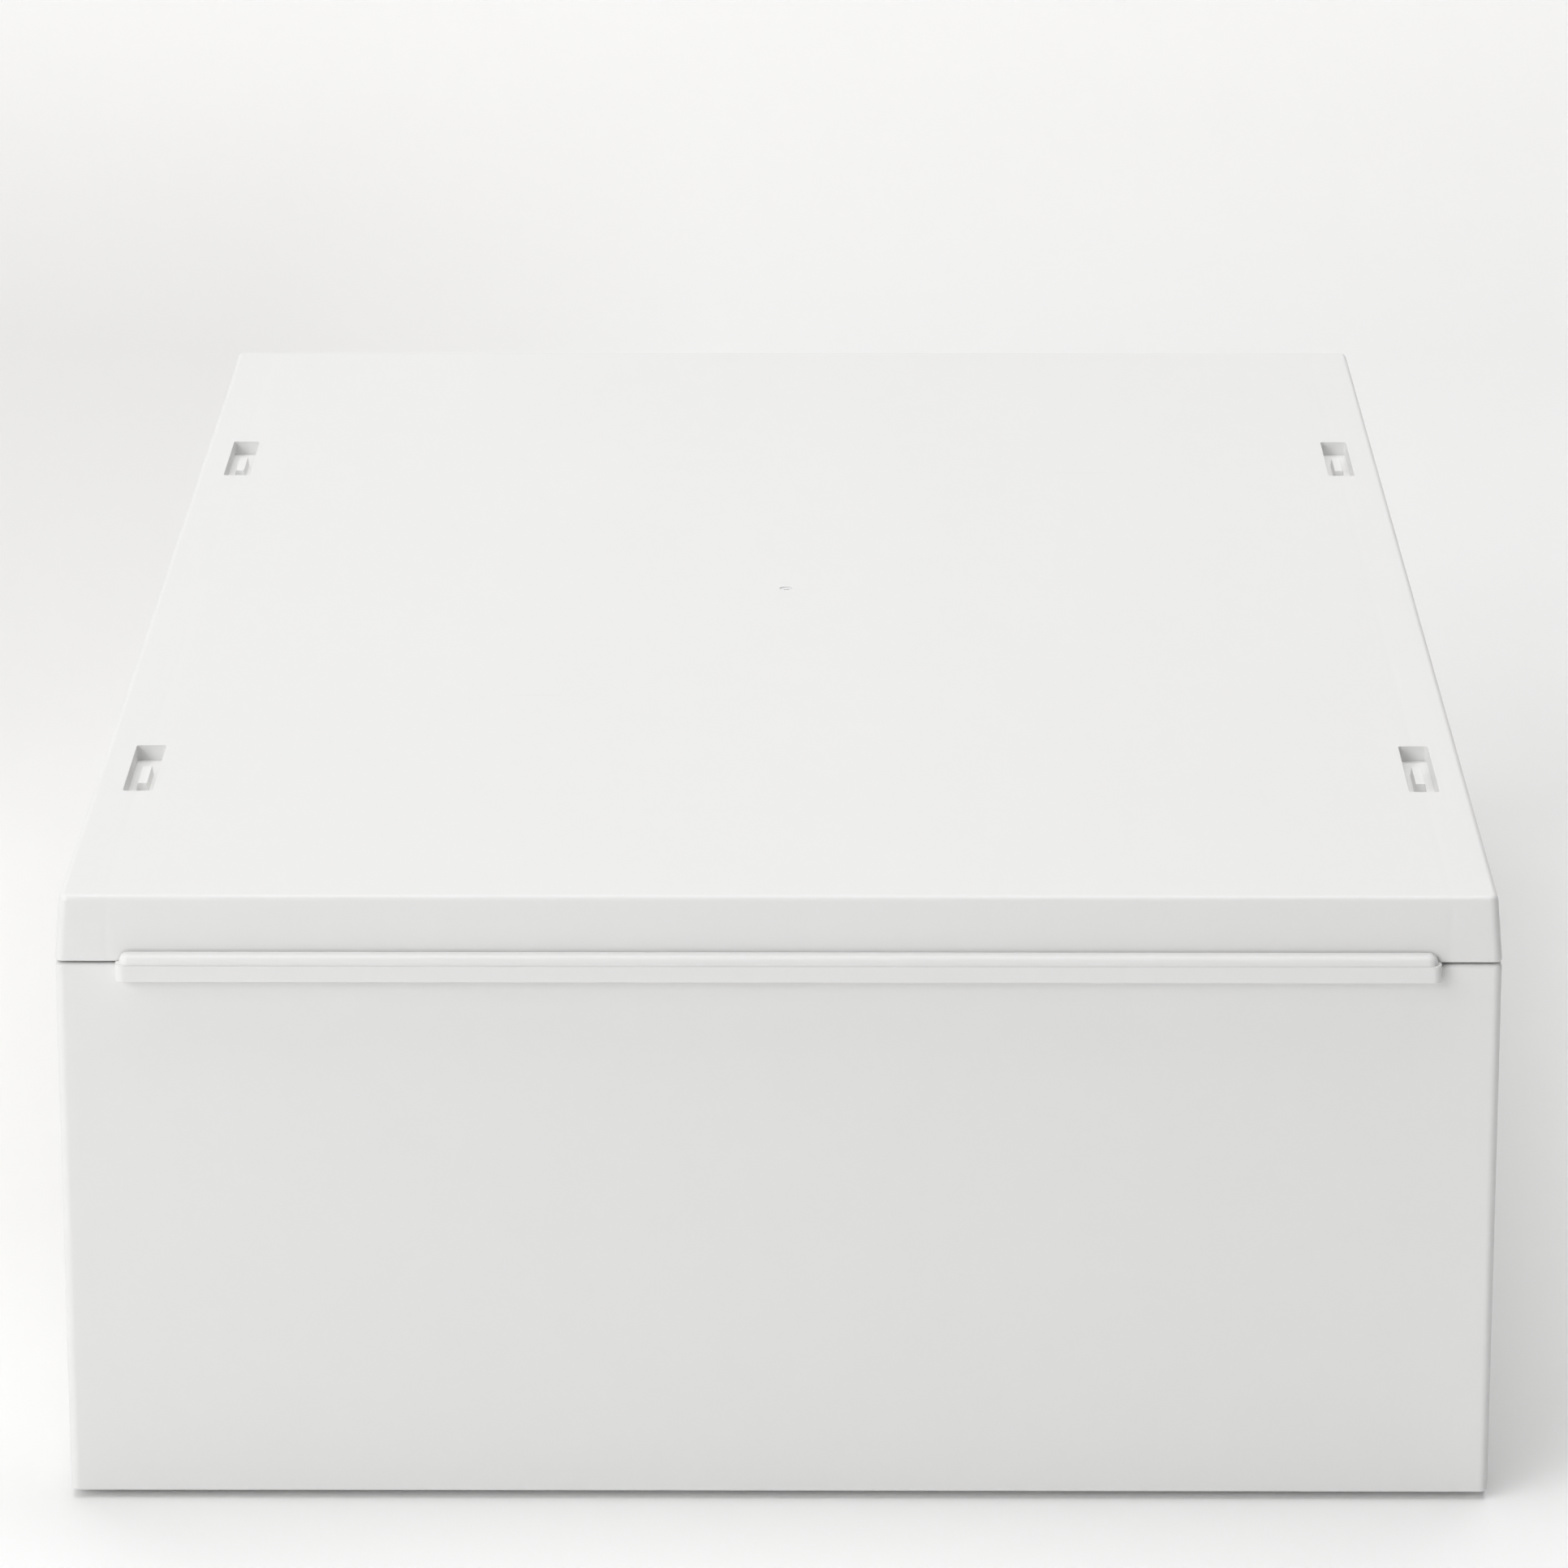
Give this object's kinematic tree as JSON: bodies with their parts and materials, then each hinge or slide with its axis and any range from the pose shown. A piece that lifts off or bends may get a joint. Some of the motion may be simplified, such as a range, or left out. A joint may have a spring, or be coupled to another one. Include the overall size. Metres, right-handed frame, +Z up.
{
  "type": "stacking storage drawer case",
  "caption": "Low stackable plastic storage case with one full-width pull-out drawer, a long lip handle and slots in its top that take the feet of the case above",
  "frame": {"origin": "on the floor under the middle of the part's bounding box", "axes": "+Z up, the drawer opens towards -Y, +X to the right as seen from the front"},
  "size_m": [0.4, 0.65, 0.178],
  "materials": {
    "case_cover": "satin moulded polypropylene",
    "case_panel": "satin moulded polypropylene",
    "case_base": "satin moulded polypropylene",
    "stop": "satin moulded polypropylene",
    "foot": "soft moulded rubber, matt",
    "drawer_front": "satin moulded polypropylene",
    "handle": "satin moulded polypropylene",
    "drawer_tray": "satin moulded polypropylene, faintly see-through in thin walls"
  },
  "bodies": {
    "case": {"top_cover": "case_cover", "side_panel_left": "case_panel", "side_panel_right": "case_panel", "back_panel": "case_panel", "base_panel": "case_base", "stop_left": "stop", "stop_right": "stop", "foot_front_left": "foot", "foot_front_right": "foot", "foot_rear_left": "foot", "foot_rear_right": "foot"},
    "drawer": {"drawer_front": "drawer_front", "handle": "handle", "drawer_tray": "drawer_tray"}
  },
  "joints": [
    {"name": "drawer_slide", "type": "slide", "parent": "case", "child": "drawer", "axis": [0, -1, 0], "range_m": [0, 0.5]}
  ]
}
